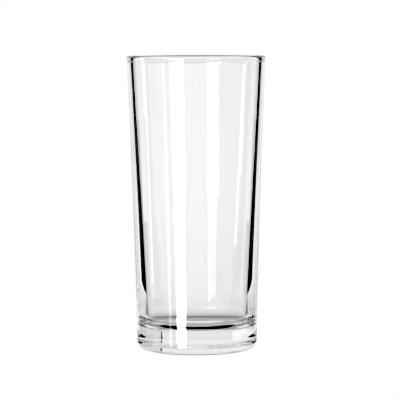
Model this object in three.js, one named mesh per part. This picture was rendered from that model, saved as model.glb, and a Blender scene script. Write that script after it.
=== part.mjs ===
// A clear highball drinking glass, pressed in one piece from one gob of soda-lime glass.
// Millimetres, +Z up. The origin is the centre of the flat foot that the glass stands on.

import * as THREE from "three";

// Driving dimensions
const HEIGHT = 150; // resting plane to the top of the rim
const MOUTH_DIAMETER = 70.9; // outside, where the outer wall would reach the top
const BASE_DIAMETER = 61; // outside, where the outer wall would reach the resting plane
const WALL_BOW = 0.5; // how far the outer wall bows in from a straight taper, half-way up
const RIM_WALL = 2.9; // wall thickness just under the rim
const RIM_SWELL = 0.15; // how far the fire-polished rim swells past each face of the wall
const FLOOR_WALL = 5.7; // wall thickness level with the edge of the inside floor
const SHAM = 12.5; // resting plane to where the inside wall and floor would meet without their fillet
const FLOOR_DISH = 3.4; // how far the middle of the inside floor lies below that
const DISH_BEND = 0.41; // where the dish turns level, as a share of the radius of the floor
const FLOOR_FILLET = 6.3; // radius between the inside wall and the dished floor
const HEEL_RADIUS = 3.7; // radius between the outer wall and the flat foot

// Fineness of the facets
const TURN_SEGMENTS = 72; // around the axis
const CURVE_STEPS = 4; // along each curve of the profile, doubled on arcs

// Radius of the outer wall at a height: a straight taper, less its bow.
function outerRadius(z) {
  const share = z / HEIGHT;
  const taper = THREE.MathUtils.lerp(BASE_DIAMETER / 2, MOUTH_DIAMETER / 2, share);
  return taper - 4 * WALL_BOW * share * (1 - share);
}

// Radius of the inside wall at a height: a straight cone, as a plunger leaves it.
function innerRadius(z) {
  const share = (z - SHAM) / (HEIGHT - SHAM);
  const atFloor = outerRadius(SHAM) - FLOOR_WALL;
  const atMouth = outerRadius(HEIGHT) - RIM_WALL;
  return THREE.MathUtils.lerp(atFloor, atMouth, share);
}

// From the axis out across the flat foot, and round the heel.
function addFoot(profile) {
  const heelCentre = outerRadius(HEEL_RADIUS) - HEEL_RADIUS;
  profile.moveTo(0, 0);
  profile.lineTo(heelCentre, 0);
  profile.absarc(heelCentre, HEEL_RADIUS, HEEL_RADIUS, -Math.PI / 2, 0, false);
}

// Up the bowed outer wall and over the swollen, fire-polished rim.
function addWallAndRim(profile) {
  const rimRadius = RIM_WALL / 2 + RIM_SWELL;
  const rimHeight = HEIGHT - rimRadius;
  const rimCentre = (outerRadius(rimHeight) + innerRadius(rimHeight)) / 2;
  const neck = Math.acos(RIM_WALL / 2 / rimRadius);
  const neckHeight = rimHeight - rimRadius * Math.sin(neck);
  const middle = (HEEL_RADIUS + neckHeight) / 2;
  const ends = (outerRadius(HEEL_RADIUS) + outerRadius(neckHeight)) / 2;
  const control = 2 * outerRadius(middle) - ends;
  profile.quadraticCurveTo(control, middle, outerRadius(neckHeight), neckHeight);
  profile.absarc(rimCentre, rimHeight, rimRadius, -neck, Math.PI + neck, false);
}

// Down the inside cone, round the fillet and across the dished floor to the axis.
function addHollow(profile) {
  const floorEdge = innerRadius(SHAM);
  const floorMiddle = SHAM - FLOOR_DISH;
  const bend = DISH_BEND * floorEdge;
  const lean = Math.atan(innerRadius(SHAM + 1) - floorEdge);
  const dip = Math.atan2(FLOOR_DISH, floorEdge - bend);
  const reach = FLOOR_FILLET / Math.tan(Math.PI / 4 + (lean + dip) / 2);
  const filletCentre = floorEdge + reach * Math.sin(lean) - FLOOR_FILLET * Math.cos(lean);
  const filletHeight = SHAM + reach * Math.cos(lean) + FLOOR_FILLET * Math.sin(lean);
  profile.absarc(filletCentre, filletHeight, FLOOR_FILLET, -lean, dip - Math.PI / 2, true);
  profile.quadraticCurveTo(bend, floorMiddle, 0, floorMiddle);
}

// The whole profile, turned about +Z.
function tumblerGeometry() {
  const profile = new THREE.Path();
  addFoot(profile);
  addWallAndRim(profile);
  addHollow(profile);
  return new THREE.LatheGeometry(profile.getPoints(CURVE_STEPS), TURN_SEGMENTS).rotateX(Math.PI / 2);
}

const clearGlass = new THREE.MeshStandardMaterial({
  color: 0xf1f4f3,
  roughness: 0.02,
  metalness: 0,
  transparent: true,
  opacity: 0.3,
});

const tumbler = new THREE.Mesh(tumblerGeometry(), clearGlass);
tumbler.name = "tumbler";

const drinkingGlass = new THREE.Group();
drinkingGlass.add(tumbler);

export default drinkingGlass;
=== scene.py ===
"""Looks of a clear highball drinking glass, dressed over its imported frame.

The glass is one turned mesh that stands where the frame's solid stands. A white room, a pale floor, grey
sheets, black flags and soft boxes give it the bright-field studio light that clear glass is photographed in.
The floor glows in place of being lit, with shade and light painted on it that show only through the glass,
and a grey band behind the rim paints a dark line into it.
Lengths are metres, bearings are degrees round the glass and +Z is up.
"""

from __future__ import annotations

import logging
import math
from dataclasses import dataclass
from enum import Enum

import bmesh
import bpy
from mathutils import Matrix, Vector

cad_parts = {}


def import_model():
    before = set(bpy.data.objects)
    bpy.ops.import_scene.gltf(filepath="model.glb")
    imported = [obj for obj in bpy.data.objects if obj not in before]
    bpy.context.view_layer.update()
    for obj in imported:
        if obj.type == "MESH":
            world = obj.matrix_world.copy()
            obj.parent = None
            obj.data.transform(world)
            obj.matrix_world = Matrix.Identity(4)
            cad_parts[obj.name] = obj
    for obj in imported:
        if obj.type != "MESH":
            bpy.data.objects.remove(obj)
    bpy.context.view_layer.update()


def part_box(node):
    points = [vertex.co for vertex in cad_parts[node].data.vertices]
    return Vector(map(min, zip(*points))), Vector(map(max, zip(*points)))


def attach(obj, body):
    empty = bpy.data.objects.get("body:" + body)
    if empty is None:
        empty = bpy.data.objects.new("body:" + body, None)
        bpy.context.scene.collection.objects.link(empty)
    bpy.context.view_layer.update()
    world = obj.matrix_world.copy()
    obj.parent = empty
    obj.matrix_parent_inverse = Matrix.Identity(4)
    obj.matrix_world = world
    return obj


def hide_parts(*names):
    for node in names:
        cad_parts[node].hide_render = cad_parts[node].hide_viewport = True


LOG = logging.getLogger("drinking_glass")
MM = 0.001
GLASS_NODE = "tumbler"
BODY = "root"
WHITE = (1, 1, 1, 1)
BLACK_GLOW = 0.0
RISING = (0.0, 1.0)
FALLING = (1.0, 0.0)
Point = tuple[float, float]
Span = tuple[float, float]
Triple = tuple[float, float, float]
Stops = tuple[tuple[float, float], ...]
Socket = bpy.types.NodeSocket


@dataclass(frozen=True)
class Corner:
    """A corner of the glass's half section.

    Attributes:
        radius: Distance from the axis.
        height: Height above the table.
        rounding: Radius that the corner is rounded to, or 0 for none.
    """

    radius: float
    height: float
    rounding: float = 0.0


@dataclass
class Tumbler:
    """The glass itself: a half section with rounded corners, turned about +Z.

    Attributes:
        height: Table to the top of the rim.
        mouth_radius: Outside radius where the outer wall would reach the top.
        base_radius: Outside radius where the outer wall would reach the table.
        wall_bow: How far the outer wall bows in from a straight taper, half-way up.
        rim_wall: Thickness of the wall just under the rim.
        rim_swell: How far the rim swells past each face of the wall.
        rim_blend: Radius of the curves that lead from the wall into the rim.
        floor_wall: Thickness of the wall level with the edge of the inside floor.
        sham: Table to where the inside wall and floor would meet without their fillet.
        floor_dish: How far the middle of the inside floor lies below that.
        floor_fillet: Radius between the inside wall and the floor.
        heel_radius: Radius between the outer wall and the flat foot.
        dish_bend: Where the dish turns level, as a share of the radius of the floor.
        dish_reach: How far towards the axis that turn reaches, as a share of the way.
        heel_clear: Height where the points of the wall start, in heel radii.
        rim_clear: Depth below the top where they end, in thicknesses of the rim wall.
        wall_steps: Segments up the outer wall.
        arc_steps: Segments in each rounded corner.
        turn_steps: Segments round the axis.
        weld: Distance within which points are joined.
    """

    height: float
    mouth_radius: float = 35.45 * MM
    base_radius: float = 30.5 * MM
    wall_bow: float = 0.5 * MM
    rim_wall: float = 2.9 * MM
    rim_swell: float = 0.15 * MM
    rim_blend: float = 2.5 * MM
    floor_wall: float = 5.7 * MM
    sham: float = 12.5 * MM
    floor_dish: float = 3.4 * MM
    floor_fillet: float = 6.3 * MM
    heel_radius: float = 3.7 * MM
    dish_bend: float = 0.41
    dish_reach: float = 0.95
    heel_clear: float = 2.0
    rim_clear: float = 2.5
    wall_steps: int = 72
    arc_steps: int = 20
    turn_steps: int = 256
    weld: float = 0.001 * MM

    def outer_radius(self, height: float) -> float:
        """Outside radius of the wall.

        Args:
            height: Height above the table.

        Returns:
            The radius of a straight taper less the wall's bow.
        """
        share = height / self.height
        taper = self.base_radius + (self.mouth_radius - self.base_radius) * share
        return taper - 4 * self.wall_bow * share * (1 - share)

    def inner_radius(self, height: float) -> float:
        """Inside radius of the wall.

        Args:
            height: Height above the table.

        Returns:
            The radius of the straight cone that the plunger leaves.
        """
        share = (height - self.sham) / (self.height - self.sham)
        at_floor = self.outer_radius(self.sham) - self.floor_wall
        at_mouth = self.mouth_radius - self.rim_wall
        return at_floor + (at_mouth - at_floor) * share

    def foot_corners(self) -> list[Corner]:
        """Corners from the axis under the base to the heel."""
        return [Corner(0.0, 0.0), Corner(self.outer_radius(0.0), 0.0, self.heel_radius)]

    def wall_corners(self) -> list[Corner]:
        """Points up the bowed outer wall, from above the heel to under the rim.

        Returns:
            The points, as corners without a rounding.
        """
        low = self.heel_clear * self.heel_radius
        high = self.height - self.rim_clear * self.rim_wall
        heights = [low + (high - low) * i / self.wall_steps for i in range(self.wall_steps + 1)]
        return [Corner(self.outer_radius(z), z) for z in heights]

    def rim_corners(self) -> list[Corner]:
        """Corners of the swollen, fire-polished rim.

        Returns:
            The corners from outside to inside.
        """
        swollen = self.rim_wall / 2 + self.rim_swell
        neck, brow = self.height - self.rim_wall, self.height - swollen - self.rim_swell
        middle = (self.outer_radius(self.height) + self.inner_radius(self.height)) / 2
        return [
            Corner(self.outer_radius(neck), neck, self.rim_blend),
            Corner(middle + swollen, brow, self.rim_blend),
            Corner(middle + swollen, self.height, swollen),
            Corner(middle - swollen, self.height, swollen),
            Corner(middle - swollen, brow, self.rim_blend),
            Corner(self.inner_radius(neck), neck, self.rim_blend),
        ]

    def hollow_corners(self) -> list[Corner]:
        """Corners of the dished floor.

        Returns:
            The corners from the foot of the inside wall to the axis.
        """
        at_floor = self.inner_radius(self.sham)
        bend = self.dish_bend * at_floor
        slope = math.atan2(self.floor_dish, at_floor - bend)
        return [
            Corner(at_floor, self.sham, self.floor_fillet),
            Corner(bend, self.sham - self.floor_dish, self.dish_reach * bend / math.tan(slope / 2)),
            Corner(0.0, self.sham - self.floor_dish),
        ]

    def section(self) -> list[Corner]:
        """The whole half section, from the axis below round to the axis above."""
        return [*self.foot_corners(), *self.wall_corners(), *self.rim_corners(), *self.hollow_corners()]

    def build(self) -> bpy.types.Object:
        """Turns the half section into the glass.

        Returns:
            The glass, linked to the scene and riding on the frame's body.
        """
        mesh = bpy.data.meshes.new("highball_glass")
        bm = bmesh.new()
        draw_section(bm, self.section(), self.arc_steps)
        bmesh.ops.spin(
            bm,
            geom=[*bm.verts, *bm.edges],
            cent=(0, 0, 0),
            axis=(0, 0, 1),
            angle=math.tau,
            steps=self.turn_steps,
            use_merge=True,
            use_duplicate=False,
        )
        bmesh.ops.remove_doubles(bm, verts=bm.verts, dist=self.weld)
        bmesh.ops.recalc_face_normals(bm, faces=bm.faces)
        for face in bm.faces:
            face.smooth = True
        bm.to_mesh(mesh)
        bm.free()
        glass = bpy.data.objects.new("highball_glass", mesh)
        bpy.context.scene.collection.objects.link(glass)
        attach(glass, BODY)
        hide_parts(GLASS_NODE)
        return glass


def draw_section(bm: bmesh.types.BMesh, corners: list[Corner], arc_steps: int) -> None:
    """Draws a half section as a chain of edges in the XZ plane and rounds its corners.

    Args:
        bm: The mesh to draw in.
        corners: The corners in order.
        arc_steps: Segments in each rounded corner.
    """
    verts = [bm.verts.new((c.radius, 0.0, c.height)) for c in corners]
    for first, second in zip(verts, verts[1:]):
        bm.edges.new((first, second))
    reaches = [
        tangent_length(before.co, here.co, after.co, corner.rounding)
        for before, here, after, corner in zip(verts, verts[1:], verts[2:], corners[1:])
    ]
    for vert, reach in zip(verts[1:-1], reaches):
        if reach > 0:
            bmesh.ops.bevel(
                bm,
                geom=[vert],
                offset=reach,
                offset_type="OFFSET",
                segments=arc_steps,
                profile=0.5,
                affect="VERTICES",
                clamp_overlap=False,
                material=-1,
            )


def tangent_length(before: Vector, here: Vector, after: Vector, radius: float) -> float:
    """Distance from a corner to where a rounding of that radius meets its sides.

    Args:
        before: The corner before.
        here: The corner itself.
        after: The corner after.
        radius: Radius of the rounding.

    Returns:
        The distance.
    """
    half = (before - here).angle(after - here) / 2
    return radius / math.tan(half)


def grey(value: float) -> tuple[float, float, float, float]:
    """An opaque grey of that brightness."""
    return value, value, value, 1.0


@dataclass(frozen=True)
class Graph:
    """A node tree that is being filled.

    Attributes:
        tree: The node tree.
    """

    tree: bpy.types.NodeTree

    def add(
        self, kind: str, inputs: dict[str | int, object] | None = None, **settings: object
    ) -> bpy.types.Node:
        """Adds a node.

        Args:
            kind: Blender's name for the kind of node.
            inputs: What goes into its sockets, by name or number: a plain value or another node's output.
            settings: Values of the node's own properties.

        Returns:
            The node.
        """
        node = self.tree.nodes.new(kind)
        for name, value in settings.items():
            setattr(node, name, value)
        for name, value in (inputs or {}).items():
            if isinstance(value, Socket):
                self.tree.links.new(value, node.inputs[name])
            else:
                node.inputs[name].default_value = value
        return node

    def math(self, operation: str, *values: object) -> Socket:
        """Combines values, two at a time from the first on.

        Args:
            operation: Blender's name for the operation.
            values: Numbers or other nodes' outputs, at least two.

        Returns:
            The result.
        """
        result = values[0]
        for value in values[1:]:
            result = self.add("ShaderNodeMath", {0: result, 1: value}, operation=operation).outputs["Value"]
        return result

    def unsigned(self, value: object) -> Socket:
        """A value without its sign."""
        return self.add("ShaderNodeMath", {0: value}, operation="ABSOLUTE").outputs["Value"]

    def stretched(self, vector: object, factors: Triple) -> Socket:
        """A vector with each of its axes multiplied by a factor of its own."""
        node = self.add("ShaderNodeVectorMath", {0: vector, 1: factors}, operation="MULTIPLY")
        return node.outputs["Vector"]

    def length(self, vector: object) -> Socket:
        """The length of a vector."""
        return self.add("ShaderNodeVectorMath", {0: vector}, operation="LENGTH").outputs["Value"]

    def noise(self, vector: object, scale: object, detail: float) -> Socket:
        """A noise pattern.

        Args:
            vector: Where it is read.
            scale: How often it repeats in a metre.
            detail: Octaves of finer noise in it.

        Returns:
            Its strength, from 0 to 1.
        """
        node = self.add("ShaderNodeTexNoise", {"Vector": vector, "Scale": scale, "Detail": detail})
        return node.outputs["Fac"]

    def step(self, value: object, span: Span, ends: Span = RISING) -> Socket:
        """A smooth step from one value to another.

        Args:
            value: What the step depends on.
            span: Where it starts and where it ends.
            ends: Result up to its start and result from its end on.

        Returns:
            The result.
        """
        sockets = {"Value": value}
        sockets["From Min"], sockets["From Max"] = span
        sockets["To Min"], sockets["To Max"] = ends
        node = self.add("ShaderNodeMapRange", sockets, interpolation_type="SMOOTHSTEP")
        return node.outputs["Result"]

    def band(self, value: object, span: Span, soft: float) -> Socket:
        """A band that is 1 between two places and 0 outside them.

        Args:
            value: What it depends on.
            span: Where it starts and where it ends.
            soft: Width of its soft edges, which lie inside the span.

        Returns:
            The result.
        """
        first, last = span
        rise = self.step(value, (first, first + soft))
        fall = self.step(value, (last - soft, last), FALLING)
        return self.math("MULTIPLY", rise, fall)

    def profile(self, value: object, stops: Stops) -> Socket:
        """A value that changes evenly from stop to stop.

        Args:
            value: What it depends on.
            stops: Pairs of a place and the result there, in order from 0.

        Returns:
            The result.
        """
        reach, _ = stops[-1]
        _, at_start = stops[0]
        node = self.add("ShaderNodeValToRGB", {"Fac": self.math("DIVIDE", value, reach)})
        elements = node.color_ramp.elements
        elements.remove(elements[-1])
        for place, result in stops[1:]:
            elements.new(place / reach).color = grey(result)
        elements[0].color = grey(at_start)
        return node.outputs["Color"]


def new_material(name: str) -> tuple[bpy.types.Material, Graph]:
    """A material with an empty node tree.

    Args:
        name: Name of the material.

    Returns:
        The material and its graph.
    """
    material = bpy.data.materials.new(name)
    material.use_nodes = True
    material.node_tree.nodes.clear()
    return material, Graph(material.node_tree)


@dataclass(frozen=True)
class ClearGlass:
    """Clear soda-lime glass, fire-polished, with a scuffed foot and a faint tint where it is thick.

    Attributes:
        ior: Index of refraction.
        wave_length: Length of the waves that pressing leaves.
        wave_height: Height of those waves.
        wave_detail: Octaves of finer waves on them.
        scuff_size: Size of the scuffs on the foot.
        scuff_detail: Octaves of finer scuffs in them.
        scuff_marks: Strengths of the scuff pattern where a scuff begins and where it is full.
        scuff_rise: Height above the table that the scuffs reach.
        scuff_roughness: Roughness of a full scuff.
        polish_roughness: Roughness of the rest of the glass.
        streak_stretch: Factors that draw the streaks out along the height.
        streak_detail: Octaves of finer streaks in them.
        streak_tint: Colour of the strongest streak.
        body_tint: Colour that thick glass takes on.
        tint_density: How soon it takes that on.
    """

    ior: float = 1.52
    wave_length: float = 45 * MM
    wave_height: float = 0.012 * MM
    wave_detail: float = 1.0
    scuff_size: float = 1.2 * MM
    scuff_detail: float = 6.0
    scuff_marks: Span = (0.5, 0.7)
    scuff_rise: float = 1.5 * MM
    scuff_roughness: float = 0.12
    polish_roughness: float = 0.0
    streak_stretch: Triple = (1.0, 1.0, 0.2)
    streak_detail: float = 3.0
    streak_tint: Triple = (0.99, 0.995, 0.99)
    body_tint: Triple = (0.76, 0.79, 0.68)
    tint_density: float = 0.7

    def face_group(self) -> bpy.types.NodeTree:
        """What pressing and use leave on the surface: long waves, scuffs by the foot and faint streaks.

        Returns:
            The node group, with Wave Length, Scuff Size and Scuff Rise in and Height, Scuff and Streak out.
        """
        tree = bpy.data.node_groups.new("pressed_glass_face", "ShaderNodeTree")
        for name in ("Wave Length", "Scuff Size", "Scuff Rise"):
            tree.interface.new_socket(name, in_out="INPUT", socket_type="NodeSocketFloat")
        for name in ("Height", "Scuff", "Streak"):
            tree.interface.new_socket(name, in_out="OUTPUT", socket_type="NodeSocketFloat")
        graph = Graph(tree)
        given = graph.add("NodeGroupInput").outputs
        place = graph.add("ShaderNodeTexCoord").outputs["Object"]
        drawn_out = graph.stretched(place, self.streak_stretch)
        height = graph.add("ShaderNodeSeparateXYZ", {"Vector": place}).outputs["Z"]
        wave_scale = graph.math("DIVIDE", 1.0, given["Wave Length"])
        scuff_scale = graph.math("DIVIDE", 1.0, given["Scuff Size"])
        waves = graph.noise(place, wave_scale, self.wave_detail)
        marks = graph.noise(place, scuff_scale, self.scuff_detail)
        streaks = graph.noise(drawn_out, wave_scale, self.streak_detail)
        near_foot = graph.step(graph.math("DIVIDE", height, given["Scuff Rise"]), RISING, FALLING)
        scuffs = graph.math("MULTIPLY", near_foot, graph.step(marks, self.scuff_marks))
        graph.add("NodeGroupOutput", {"Height": waves, "Scuff": scuffs, "Streak": streaks})
        return tree

    def material(self) -> bpy.types.Material:
        """Builds the material.

        Returns:
            The material.
        """
        material, graph = new_material("clear_glass")
        face = graph.add("ShaderNodeGroup", node_tree=self.face_group())
        face.inputs["Wave Length"].default_value = self.wave_length
        face.inputs["Scuff Size"].default_value = self.scuff_size
        face.inputs["Scuff Rise"].default_value = self.scuff_rise
        tint = graph.add("ShaderNodeMixRGB", {"Fac": face.outputs["Streak"]})
        tint.inputs["Color1"].default_value = WHITE
        tint.inputs["Color2"].default_value = (*self.streak_tint, 1)
        bump = graph.add("ShaderNodeBump", {"Height": face.outputs["Height"], "Distance": self.wave_height})
        worn = graph.step(face.outputs["Scuff"], RISING, (self.polish_roughness, self.scuff_roughness))
        shader = graph.add(
            "ShaderNodeBsdfPrincipled",
            {
                "Base Color": tint.outputs["Color"],
                "Roughness": worn,
                "Normal": bump.outputs["Normal"],
                "Transmission Weight": 1.0,
                "IOR": self.ior,
            },
        )
        body = graph.add(
            "ShaderNodeVolumeAbsorption", {"Color": (*self.body_tint, 1), "Density": self.tint_density}
        )
        graph.add(
            "ShaderNodeOutputMaterial", {"Surface": shader.outputs["BSDF"], "Volume": body.outputs["Volume"]}
        )
        return material


@dataclass
class StudioCamera:
    """The camera at the photograph's viewing angle.

    Attributes:
        distance: Distance in front of the axis.
        height: Height above the table.
        aim: The place it looks at.
        lens_mm: Focal length in millimetres.
        roll: Degrees that it is turned about its own line of sight.
        clip: Nearest and farthest distance that it sees.
    """

    distance: float = 1.250
    height: float = 0.162
    aim: Triple = (0.00177, 0.0, 0.07615)
    lens_mm: float = 220.2
    roll: float = -0.19
    clip: Span = (0.01, 30.0)

    def build(self) -> bpy.types.Object:
        """Makes the camera and gives it to the scene.

        Returns:
            The camera.
        """
        data = bpy.data.cameras.new("photo_camera")
        data.lens = self.lens_mm
        data.clip_start, data.clip_end = self.clip
        camera = bpy.data.objects.new("photo_camera", data)
        place = Vector((0.0, -self.distance, self.height))
        look = (Vector(self.aim) - place).to_track_quat("-Z", "Y").to_matrix().to_4x4()
        roll = Matrix.Rotation(math.radians(self.roll), 4, "Z")
        camera.matrix_world = Matrix.Translation(place) @ look @ roll
        bpy.context.scene.collection.objects.link(camera)
        bpy.context.scene.camera = camera
        return camera


class Sight(Enum):
    """How a studio card shows in the glass."""

    TURNED = "in light that the glass has mirrored, outside or inside"
    TURNED_TWICE = "in light that the glass has mirrored more than once"
    TURNED_INSIDE = "in light that the glass has mirrored inside"
    MIRRORED = "mirrored in the outside of the glass"
    THROUGH = "through the glass"

    @property
    def turns(self) -> int:
        """How often the glass has to have mirrored the light."""
        return {Sight.TURNED: 1, Sight.TURNED_INSIDE: 1, Sight.TURNED_TWICE: 2}.get(self, 0)


def glow_material(name: str, glow: float, sight: Sight) -> bpy.types.Material:
    """A plain emitting material, black where it doesn't glow, that lets light pass which it isn't there for.

    Args:
        name: Name of the material.
        glow: Strength of the emission.
        sight: How it shows in the glass.

    Returns:
        The material.
    """
    material, graph = new_material(name)
    surface = graph.add("ShaderNodeEmission", {"Strength": glow}).outputs["Emission"]
    if sight.turns:
        clear = graph.add("ShaderNodeBsdfTransparent").outputs["BSDF"]
        depth = graph.add("ShaderNodeLightPath").outputs["Glossy Depth"]
        turned = graph.math("GREATER_THAN", depth, sight.turns - 1)
        surface = graph.add("ShaderNodeMixShader", {0: turned, 1: clear, 2: surface}).outputs["Shader"]
    graph.add("ShaderNodeOutputMaterial", {"Surface": surface})
    return material


def stand(name: str, bm: bmesh.types.BMesh, material: bpy.types.Material) -> bpy.types.Object:
    """Makes a piece of the stage.

    Args:
        name: Name of the piece.
        bm: Its mesh, which is freed.
        material: Its material.

    Returns:
        The piece, linked to the scene.
    """
    mesh = bpy.data.meshes.new(name)
    bm.to_mesh(mesh)
    bm.free()
    mesh.materials.append(material)
    piece = bpy.data.objects.new(name, mesh)
    bpy.context.scene.collection.objects.link(piece)
    return piece


def stand_unseen(name: str, bm: bmesh.types.BMesh, glow: float, sight: Sight) -> bpy.types.Object:
    """Makes a piece of the stage that shows in the glass alone.

    Args:
        name: Name of the piece.
        bm: Its mesh, which is freed.
        glow: How brightly it shines.
        sight: How it shows in the glass.

    Returns:
        The piece.
    """
    piece = stand(name, bm, glow_material(name, glow, sight))
    piece.visible_camera = False
    piece.visible_diffuse = False
    piece.visible_shadow = False
    piece.visible_glossy = sight in (Sight.TURNED, Sight.TURNED_TWICE, Sight.MIRRORED)
    piece.visible_transmission = sight is not Sight.MIRRORED
    return piece


def sheet_between(lower: list[Triple], upper: list[Triple]) -> bmesh.types.BMesh:
    """A sheet between two edges.

    Args:
        lower: The ends of its lower edge.
        upper: The ends of its upper edge.

    Returns:
        The mesh.
    """
    bm = bmesh.new()
    edges = [bm.edges.new([bm.verts.new(end) for end in ends]) for ends in (lower, upper)]
    bmesh.ops.bridge_loops(bm, edges=edges)
    return bm


def on_circle(bearing: float, distance: float) -> Point:
    """A point on the table round the glass.

    Args:
        bearing: Degrees round the glass from straight behind it, positive to the left.
        distance: Distance from the axis.

    Returns:
        X and Y of the point.
    """
    angle = math.radians(bearing)
    return -distance * math.sin(angle), distance * math.cos(angle)


@dataclass(frozen=True)
class Card:
    """A flat card in the studio, out of the camera's sight.

    Attributes:
        name: Name of the card.
        glow: How brightly it shines, 1 for the white of the picture and 0 for black.
        sight: How it shows in the glass.
        low: Height of its lower edge.
        high: Height of its upper edge.
        foot: X and Y of the two ends of its lower edge.
        top: X and Y of the two ends of its upper edge.
    """

    name: str
    glow: float
    sight: Sight
    low: float
    high: float
    foot: tuple[Point, Point]
    top: tuple[Point, Point]

    def build(self) -> bpy.types.Object:
        """Makes the card and hides it from the camera.

        Returns:
            The card.
        """
        lower = [(*point, self.low) for point in self.foot]
        upper = [(*point, self.high) for point in self.top]
        return stand_unseen(self.name, sheet_between(lower, upper), self.glow, self.sight)


@dataclass(frozen=True)
class Louvre:
    """A black flag of slats that rise away from the glass, so that steeply rising light passes between them.

    Attributes:
        name: Name of the flag.
        edge: X and Y of the two ends of each slat's lower edge.
        hand: Side of the glass that it stands on, -1 for left and 1 for right.
        low: Height of the lowest slat.
        high: Height that the slats reach.
        spacing: Height from slat to slat.
        overlap: Rise of a slat, as a share of the spacing.
        slope: Rise of a slat, as a share of its width.
    """

    name: str
    edge: tuple[Point, Point]
    hand: int
    low: float
    high: float
    spacing: float = 1 * MM
    overlap: float = 1.3
    slope: float = 0.57

    def build(self) -> bpy.types.Object:
        """Makes the lowest slat, repeats it up the flag and hides the flag from the camera.

        Returns:
            The flag.
        """
        rise = self.overlap * self.spacing
        out = self.hand * rise / self.slope
        lower = [(x, y, self.low) for x, y in self.edge]
        upper = [(x + out, y, self.low + rise) for x, y in self.edge]
        slats = sheet_between(lower, upper)
        bmesh.ops.spin(
            slats,
            geom=[*slats.verts, *slats.edges, *slats.faces],
            cent=(0, 0, 0),
            axis=(0, 0, 1),
            dvec=(0, 0, self.spacing),
            angle=0,
            steps=round((self.high - self.low) / self.spacing) - 1,
            use_duplicate=True,
        )
        return stand_unseen(self.name, slats, BLACK_GLOW, Sight.TURNED)


@dataclass(frozen=True)
class Ring:
    """Where cards stand round the glass.

    Attributes:
        distance: Distance of their edges from the axis.
        low: Height of their lower edges.
        high: Height of their upper edges.
    """

    distance: float
    low: float
    high: float

    def card(self, name: str, glow: float, sight: Sight, foot: Span, top: Span | None = None) -> Card:
        """A card between bearings.

        Args:
            name: Name of the card.
            glow: How brightly it shines.
            sight: How it shows in the glass.
            foot: Bearings of the two ends of its lower edge.
            top: Bearings of the two ends of its upper edge, or none for those of the lower one.

        Returns:
            The card.
        """
        lower = tuple(on_circle(bearing, self.distance) for bearing in foot)
        upper = tuple(on_circle(bearing, self.distance) for bearing in top or foot)
        return Card(name, glow, sight, self.low, self.high, lower, upper)


@dataclass(frozen=True)
class FloorLight:
    """A place on the floor and the light that comes there.

    Attributes:
        graph: The graph of the floor's material.
        place: The place.
        radius: Its distance from the axis.
        right: Its distance to the right.
        left: Its distance to the left.
        aside: Its distance to either side.
        depth: Its distance behind the axis.
        turned: 1 for light that the glass has mirrored, otherwise 0.
        solid: 1 for light that crosses only the base or one wall, otherwise 0.
        travel: How far the light has come since it last met the glass.
        direct: 1 for the camera's own sight of the floor, otherwise 0.
    """

    graph: Graph
    place: Socket
    radius: Socket
    right: Socket
    left: Socket
    aside: Socket
    depth: Socket
    turned: Socket
    solid: Socket
    travel: Socket
    direct: Socket


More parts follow.
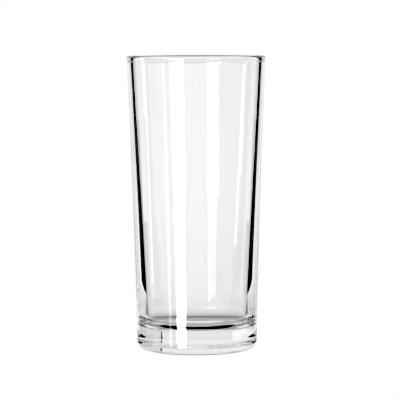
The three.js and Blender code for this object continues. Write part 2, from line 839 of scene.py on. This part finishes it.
@dataclass
class PaleFloor:
    """A white table that glows in place of being lit, with shade painted round the foot of the glass and
    other painted shade and light that show only through the glass; the camera itself sees it as plain white
    but for a painted dark line under the foot.

    Attributes:
        size: Length of its sides.
        drop: How far it lies below the foot of the glass.
        shade: Its painted shade, as brightness by distance from the axis, darkest in a ring a little outside
            the foot.
        painted_wall_light: Painted light that the floor gains, by distance from the axis, for light mirrored
            in the wall.
        crossings: Limit of the surfaces that light in the base or in one wall crosses.
        band_soft: Width of the soft edges of the bands below.
        contact_ring: Radii of the painted contact shadow, a dark ring under the heel, which draws the
            crescent.
        contact_soft: Width of the ring's soft edges.
        contact_front: Depths between which the ring fades out towards the back.
        stripe_aside: Distances aside of the painted dark stripes of shadow beside the foot, which draw the
            corners of the base.
        stripe_depth: Depths of the stripes.
        stripe_reach: How far light that isn't mirrored may have come to show them.
        sheet_depth: Depths of the painted shade, painted light and painted dark line that carry on the edges
            of the sheets behind.
        sheet_slope: How fast those edges go outwards with depth.
        sheet_start: How far past the middle they would start, level with the axis.
        sheet_line: Half the width of the painted dark line on the right edge, and the width of the soft
            steps.
        sheet_shade: Painted shade past the right edge.
        sheet_gain: Painted light past the left edge.
        sheet_reach: How far light may have come to show the marks.
        sector_slope: How fast the back edges of the painted dark sectors go back with distance aside.
        sector_start: How far in front of the axis those edges would start.
        sector_aside: Distances aside of the sectors, whose painted shade darkens the sides of the base.
        sector_soft: Width of the soft step at their back edges.
        sector_shade: Strength of their painted shade.
        side_depth: Depths between which the painted shade far behind comes in.
        side_slope: How fast the unshaded middle widens with depth.
        side_span: Distances past that middle between which the shade comes in.
        left_side_shade: Painted shade at the left.
        right_side_shade: Painted shade at the right.
        line_span: Distances from the axis between which the painted dark contact shadow line at the foot
            turns white.
        line_glow: Brightness of that line.
        line_squeeze: Factors that make the line narrower across than along.
    """

    size: float = 6.0
    drop: float = 0.2 * MM
    shade: Stops = (
        (0 * MM, 0.30),
        (30 * MM, 0.32),
        (35 * MM, 0.36),
        (37.5 * MM, 0.25),
        (39.5 * MM, 0.10),
        (41.5 * MM, 0.12),
        (45 * MM, 0.46),
        (52 * MM, 0.60),
        (65 * MM, 0.73),
        (90 * MM, 0.81),
        (200 * MM, 0.88),
        (600 * MM, 0.935),
    )
    painted_wall_light: Stops = (
        (0 * MM, 0.0),
        (120 * MM, 0.0),
        (200 * MM, 0.18),
        (600 * MM, 0.18),
        (900 * MM, 0.0),
    )
    crossings: float = 2.5
    band_soft: float = 4 * MM
    contact_ring: Span = (22.5 * MM, 32 * MM)
    contact_soft: float = 3.5 * MM
    contact_front: Span = (-18 * MM, -11 * MM)
    stripe_aside: Span = (31 * MM, 61 * MM)
    stripe_depth: Span = (-5 * MM, 68 * MM)
    stripe_reach: float = 70 * MM
    sheet_depth: Span = (60 * MM, 125 * MM)
    sheet_slope: float = 0.49
    sheet_start: float = 20.3 * MM
    sheet_line: float = 0.6 * MM
    sheet_shade: float = 0.12
    sheet_gain: float = 0.18
    sheet_reach: float = 92 * MM
    sector_slope: float = 0.62
    sector_start: float = 7 * MM
    sector_aside: Span = (80 * MM, 125 * MM)
    sector_soft: float = 3 * MM
    sector_shade: float = 0.6
    side_depth: Span = (120 * MM, 250 * MM)
    side_slope: float = 0.03
    side_span: Span = (4 * MM, 14 * MM)
    left_side_shade: float = 0.025
    right_side_shade: float = 0.06
    line_span: Span = (26.7 * MM, 28.7 * MM)
    line_glow: float = 0.05
    line_squeeze: Triple = (1.06, 1.0, 1.0)

    def light(self, graph: Graph) -> FloorLight:
        """Finds the place on the floor and the light that comes there.

        Args:
            graph: The graph of the floor's material.

        Returns:
            The place and the light.
        """
        place = graph.add("ShaderNodeTexCoord").outputs["Object"]
        axes = graph.add("ShaderNodeSeparateXYZ", {"Vector": place}).outputs
        path = graph.add("ShaderNodeLightPath").outputs
        return FloorLight(
            graph=graph,
            place=place,
            radius=graph.length(place),
            right=axes["X"],
            left=graph.math("SUBTRACT", 0.0, axes["X"]),
            aside=graph.unsigned(axes["X"]),
            depth=axes["Y"],
            turned=graph.math("MINIMUM", path["Glossy Depth"], 1.0),
            solid=graph.math("LESS_THAN", path["Transmission Depth"], self.crossings),
            travel=path["Ray Length"],
            direct=path["Is Camera Ray"],
        )

    def contact(self, light: FloorLight) -> Socket:
        """The painted contact shadow: a dark ring under the front of the heel.

        Args:
            light: The place on the floor and the light there.

        Returns:
            How dark it is.
        """
        graph = light.graph
        inner, outer = self.contact_ring
        outside = graph.step(light.radius, (inner - self.contact_soft, inner))
        inside = graph.step(light.radius, (outer, outer + self.contact_soft), FALLING)
        front = graph.step(light.depth, self.contact_front, FALLING)
        return graph.math("MULTIPLY", outside, inside, front)

    def stripes(self, light: FloorLight) -> Socket:
        """The painted dark stripes of shadow beside the foot.

        Args:
            light: The place on the floor and the light there.

        Returns:
            How dark they are.
        """
        graph = light.graph
        aside = graph.band(light.aside, self.stripe_aside, self.band_soft)
        along = graph.band(light.depth, self.stripe_depth, self.band_soft)
        close = graph.math("LESS_THAN", light.travel, self.stripe_reach)
        shown = graph.math("MAXIMUM", graph.math("MULTIPLY", light.solid, close), light.turned)
        return graph.math("MULTIPLY", aside, along, shown)

    def painted_sheet_edges(self, light: FloorLight) -> tuple[Socket, Socket, Socket]:
        """The painted shade, light and dark line that carry on the edges of the sheets behind.

        Args:
            light: The place on the floor and the light there.

        Returns:
            The painted shade past the right edge, the painted light past the left one and how dark the
            painted line is.
        """
        graph = light.graph
        near = graph.math("LESS_THAN", light.travel, self.sheet_reach)
        along = graph.band(light.depth, self.sheet_depth, self.band_soft)
        shown = graph.math("MULTIPLY", along, light.solid, near)
        leaning = graph.math("MULTIPLY", light.depth, self.sheet_slope)
        edge = graph.math("SUBTRACT", leaning, self.sheet_start)
        past_right = graph.math("SUBTRACT", light.right, edge)
        past_left = graph.math("SUBTRACT", light.left, edge)
        loss = graph.step(past_right, (0.0, self.sheet_line), (0.0, self.sheet_shade))
        gain = graph.step(past_left, (0.0, self.sheet_line), (0.0, self.sheet_gain))
        line = graph.math("LESS_THAN", graph.unsigned(past_right), self.sheet_line)
        return tuple(graph.math("MULTIPLY", mark, shown) for mark in (loss, gain, line))

    def sectors(self, light: FloorLight) -> Socket:
        """The painted dark sectors of shade to both sides.

        Args:
            light: The place on the floor and the light there.

        Returns:
            How dark they are.
        """
        graph = light.graph
        leaning = graph.math("MULTIPLY", light.aside, self.sector_slope)
        before = graph.math("SUBTRACT", leaning, self.sector_start, light.depth)
        past = graph.step(before, (0.0, self.sector_soft), (0.0, self.sector_shade))
        return graph.math("MULTIPLY", past, graph.band(light.aside, self.sector_aside, self.band_soft))

    def sides(self, light: FloorLight) -> Socket:
        """The painted shade far behind, to both sides.

        Args:
            light: The place on the floor and the light there.

        Returns:
            The loss of brightness to painted shade.
        """
        graph = light.graph
        middle = graph.math("MULTIPLY", light.depth, self.side_slope)
        right, left = (
            graph.step(graph.math("SUBTRACT", way, middle), self.side_span, (0.0, shade))
            for way, shade in ((light.right, self.right_side_shade), (light.left, self.left_side_shade))
        )
        far = graph.step(light.depth, self.side_depth)
        return graph.math("MULTIPLY", graph.math("ADD", right, left), far)

    def material(self) -> bpy.types.Material:
        """Builds the material: a glow with painted shade and light where light reaches the floor through the
        glass, and plain white for the camera.

        Returns:
            The material.
        """
        material, graph = new_material("pale_floor")
        light = self.light(graph)
        loss, gain, line = self.painted_sheet_edges(light)
        # Painted contact shadow and painted shade sectors, shown only in light that the glass has mirrored.
        marks = graph.math("MAXIMUM", self.contact(light), self.sectors(light))
        dark = graph.math("MAXIMUM", graph.math("MULTIPLY", marks, light.turned), self.stripes(light), line)
        # Painted light, only for light that the glass has mirrored and that crosses the base or one wall.
        in_wall = graph.math("MULTIPLY", light.turned, light.solid)
        painted_light_in_wall = graph.math("MULTIPLY", graph.profile(light.radius, self.painted_wall_light), in_wall)
        # The painted shade by distance from the axis, with the painted light added and the painted shade and
        # dark marks taken off.
        bright = graph.math("ADD", graph.profile(light.radius, self.shade), gain, painted_light_in_wall)
        lit = graph.math("SUBTRACT", bright, graph.math("ADD", loss, self.sides(light)), dark)
        # What the camera itself sees: plain white with a painted contact shadow line under the foot.
        from_axis = graph.length(graph.stretched(light.place, self.line_squeeze))
        plain = graph.step(from_axis, self.line_span, (self.line_glow, 1.0))
        seen = graph.add("ShaderNodeMix", {"Factor": light.direct, "A": lit, "B": plain}).outputs["Result"]
        emission = graph.add("ShaderNodeEmission", {"Strength": graph.math("MAXIMUM", seen, 0.0)})
        graph.add("ShaderNodeOutputMaterial", {"Surface": emission.outputs["Emission"]})
        return material

    def build(self) -> bpy.types.Object:
        """Makes the floor.

        Returns:
            The floor.
        """
        bm = bmesh.new()
        bmesh.ops.create_grid(bm, x_segments=1, y_segments=1, size=self.size / 2)
        bmesh.ops.translate(bm, verts=bm.verts, vec=(0, 0, -self.drop))
        floor = stand("pale_floor", bm, self.material())
        floor.visible_glossy = False
        return floor


@dataclass
class Studio:
    """Room and cards round the glass.

    Attributes:
        room_glow: Brightness of the room in the glass.
        lights: Where the soft boxes stand.
        strips: Where the narrow box at the left stands.
        back_lights: Where the boxes stand that show inside the glass.
        sheets: Where the sheets behind the glass stand.
        shades: Where the dark shades above its sides stand.
        front_shades: Where the grey shades above its front stand.
        shade_span: Bearings of the dark shade at the left.
        front_shade_span: Bearings of the grey shade at the left.
        front_shade_glow: Brightness of the grey shades.
        backdrop_distance: Distance of the backdrop behind the axis.
        backdrop_height: Height of the backdrop.
        backdrop_edges: X of the edges of its parts, from left to right.
        backdrop_glows: Brightness of each part.
        flag_ends: X and Y of the far end, the bend and the near end of the flags at the right.
        flag_foot: Height of the lower edges of the flags.
        flag_height: Height that the slatted flags reach.
        low_flag_height: Height of the low flags.
        mirror_flag_height: Height of the flags above those, which show on the outside of the glass.
        collar: Where the low black collars stand.
        collar_span: Bearings of the collar at the left.
        rim_band: Where the dark band behind the rim stands, a sheet seen only through the glass that paints
            a dark line into the rim.
        rim_band_reach: How far it reaches to each side.
        rim_band_steps: Segments along it.
        rim_band_glow: Its brightness.
    """

    room_glow: float = 0.91
    lights: Ring = Ring(1.0, -0.25, 0.5)
    strips: Ring = Ring(1.0, -0.1, 0.5)
    back_lights: Ring = Ring(1.0, 0.0, 0.3)
    sheets: Ring = Ring(2.1, 0.11, 0.8)
    shades: Ring = Ring(1.0, 0.3, 0.75)
    front_shades: Ring = Ring(1.0, 0.3, 0.55)
    shade_span: Span = (50.0, 104.0)
    front_shade_span: Span = (104.0, 180.0)
    front_shade_glow: float = 0.3
    backdrop_distance: float = 2.0
    backdrop_height: float = 0.11
    backdrop_edges: tuple[float, float, float, float] = (-2.0, -0.077, 0.069, 2.0)
    backdrop_glows: Triple = (0.9, 0.935, 0.87)
    flag_ends: tuple[Point, Point, Point] = ((0.119, 0.135), (0.121, 0.056), (0.121, 0.025))
    flag_foot: float = -0.05
    flag_height: float = 0.4
    low_flag_height: float = 0.045
    mirror_flag_height: float = 0.11
    collar: Ring = Ring(0.047, 0.0, 0.007)
    collar_span: Span = (48.0, 115.0)
    rim_band: Ring = Ring(36.2 * MM, 147.3 * MM, 149.6 * MM)
    rim_band_reach: float = 55.0
    rim_band_steps: int = 48
    rim_band_glow: float = 0.3

    def flags(self, side: str, hand: int) -> list[Card | Louvre]:
        """The black flags and the collar that draw a dark edge of the glass.

        Args:
            side: Name of the side that they stand on.
            hand: -1 for left and 1 for right.

        Returns:
            The flags and the collar.
        """
        far, bend, near = ((hand * x, y) for x, y in self.flag_ends)
        edge = (bend, near)
        low, middle, high = self.flag_foot, self.low_flag_height, self.mirror_flag_height
        around = tuple(-hand * bearing for bearing in self.collar_span)
        return [
            Louvre(f"{side}_flag", (far, bend), hand, low, self.flag_height),
            Card(f"low_{side}_flag", BLACK_GLOW, Sight.TURNED, low, middle, edge, edge),
            Card(f"{side}_mirror_flag", BLACK_GLOW, Sight.MIRRORED, middle, high, edge, edge),
            self.collar.card(f"{side}_collar", BLACK_GLOW, Sight.TURNED, around),
        ]

    def boxes(self) -> list[Card]:
        """The soft boxes that draw the white streaks down the glass.

        Returns:
            The boxes.
        """
        outside, inside = Sight.MIRRORED, Sight.TURNED_INSIDE
        return [
            self.lights.card("key_box", 22.0, outside, foot=(145.0, 160.0), top=(122.0, 160.0)),
            self.back_lights.card("key_box_behind", 5.0, inside, foot=(131.3, 152.3), top=(140.2, 161.2)),
            self.strips.card("left_strip", 4.5, outside, foot=(87.6, 92.6), top=(68.0, 73.0)),
            self.back_lights.card("left_strip_behind", 10.0, inside, foot=(73.2, 80.2), top=(66.8, 73.8)),
            self.lights.card("front_strip", 4.5, outside, foot=(128.0, 133.5), top=(113.0, 118.5)),
        ]

    def back_sheets(self) -> list[Card]:
        """The sheets behind the glass, which draw the greys of its hollow.

        Returns:
            The sheets.
        """
        through = Sight.THROUGH
        return [
            self.sheets.card("back_sheet", 0.83, through, foot=(-25.2, 26.0), top=(-27.3, 26.0)),
            self.sheets.card("sheet_edge", BLACK_GLOW, through, foot=(-26.7, -25.2), top=(-28.8, -27.3)),
            self.sheets.card("right_sheet", 0.68, through, foot=(-60.0, -26.7), top=(-60.0, -28.8)),
            self.sheets.card("left_sheet", 0.85, through, foot=(26.0, 60.0)),
        ]

    def high_shades(self) -> list[Card]:
        """The shades above the sides and the front of the glass.

        Returns:
            The shades.
        """
        cards = []
        for ring, kind, span, glow in (
            (self.shades, "shade", self.shade_span, BLACK_GLOW),
            (self.front_shades, "front_shade", self.front_shade_span, self.front_shade_glow),
        ):
            for side, turn in (("left", 1), ("right", -1)):
                around = tuple(turn * bearing for bearing in span)
                cards.append(ring.card(f"{side}_{kind}", glow, Sight.TURNED_TWICE, around))
        return cards

    def backdrop(self) -> list[Card]:
        """The parts of the backdrop, which stands low behind the glass.

        Returns:
            The parts from left to right.
        """
        cards = []
        for number, glow in enumerate(self.backdrop_glows):
            edge = tuple((x, self.backdrop_distance) for x in self.backdrop_edges[number : number + 2])
            name = f"backdrop_{number}"
            cards.append(Card(name, glow, Sight.THROUGH, 0.0, self.backdrop_height, edge, edge))
        return cards

    def build_rim_band(self) -> bpy.types.Object:
        """Makes the dark band behind the rim, which paints a dark line into the rim where it shows through
        the glass.

        Returns:
            The band.
        """
        start = on_circle(-self.rim_band_reach, self.rim_band.distance)
        bm = bmesh.new()
        ends = [bm.verts.new((*start, height)) for height in (self.rim_band.low, self.rim_band.high)]
        bmesh.ops.spin(
            bm,
            geom=[*ends, bm.edges.new(ends)],
            cent=(0, 0, 0),
            axis=(0, 0, 1),
            angle=math.radians(2 * self.rim_band_reach),
            steps=self.rim_band_steps,
        )
        return stand_unseen("rim_band", bm, self.rim_band_glow, Sight.THROUGH)

    def build_room(self) -> None:
        """Gives the scene a white background and a dimmer room round the glass."""
        world = bpy.data.worlds.new("studio_room")
        world.use_nodes = True
        world.node_tree.nodes.clear()
        graph = Graph(world.node_tree)
        camera_ray = graph.add("ShaderNodeLightPath").outputs["Is Camera Ray"]
        glow = graph.math("MAXIMUM", camera_ray, self.room_glow)
        room = graph.add("ShaderNodeBackground", {"Color": WHITE, "Strength": glow})
        graph.add("ShaderNodeOutputWorld", {"Surface": room.outputs["Background"]})
        bpy.context.scene.world = world

    def build(self) -> list[bpy.types.Object]:
        """Builds the room, the rim band and the cards.

        Returns:
            The pieces.
        """
        self.build_room()
        cards = [
            *self.flags("left", -1),
            *self.flags("right", 1),
            *self.boxes(),
            *self.back_sheets(),
            *self.high_shades(),
            *self.backdrop(),
        ]
        return [self.build_rim_band(), *(card.build() for card in cards)]


@dataclass(frozen=True)
class Print:
    """How the picture is printed: plain colours, with the deep shadows pulled down to black.

    Attributes:
        tones: Pairs of a brightness and what it is printed as.
        curve: Number of the curve that holds for all colours.
        bounces: How often light may turn inside the glass.
    """

    tones: Stops = ((0.14, 0.015), (0.30, 0.23), (0.60, 0.58))
    curve: int = 3
    bounces: int = 32

    def apply(self, scene: bpy.types.Scene) -> None:
        """Sets the scene's view and light paths.

        Args:
            scene: The scene.
        """
        view = scene.view_settings
        view.view_transform = "Standard"
        view.use_curve_mapping = True
        for brightness, printed in self.tones:
            view.curve_mapping.curves[self.curve].points.new(brightness, printed)
        view.curve_mapping.update()
        scene.cycles.max_bounces = self.bounces
        scene.cycles.transmission_bounces = self.bounces
        scene.cycles.glossy_bounces = self.bounces


def main() -> None:
    """Builds the glass and its studio."""
    logging.basicConfig(level=logging.INFO, format="%(message)s")
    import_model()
    _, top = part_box(GLASS_NODE)
    glass = Tumbler(height=top.z).build()
    glass.data.materials.append(ClearGlass().material())
    LOG.info("built %s with %d faces", glass.name, len(glass.data.polygons))
    for piece in [StudioCamera().build(), PaleFloor().build(), *Studio().build()]:
        LOG.info("stood %s", piece.name)
    Print().apply(bpy.context.scene)


if __name__ == "__main__":
    main()
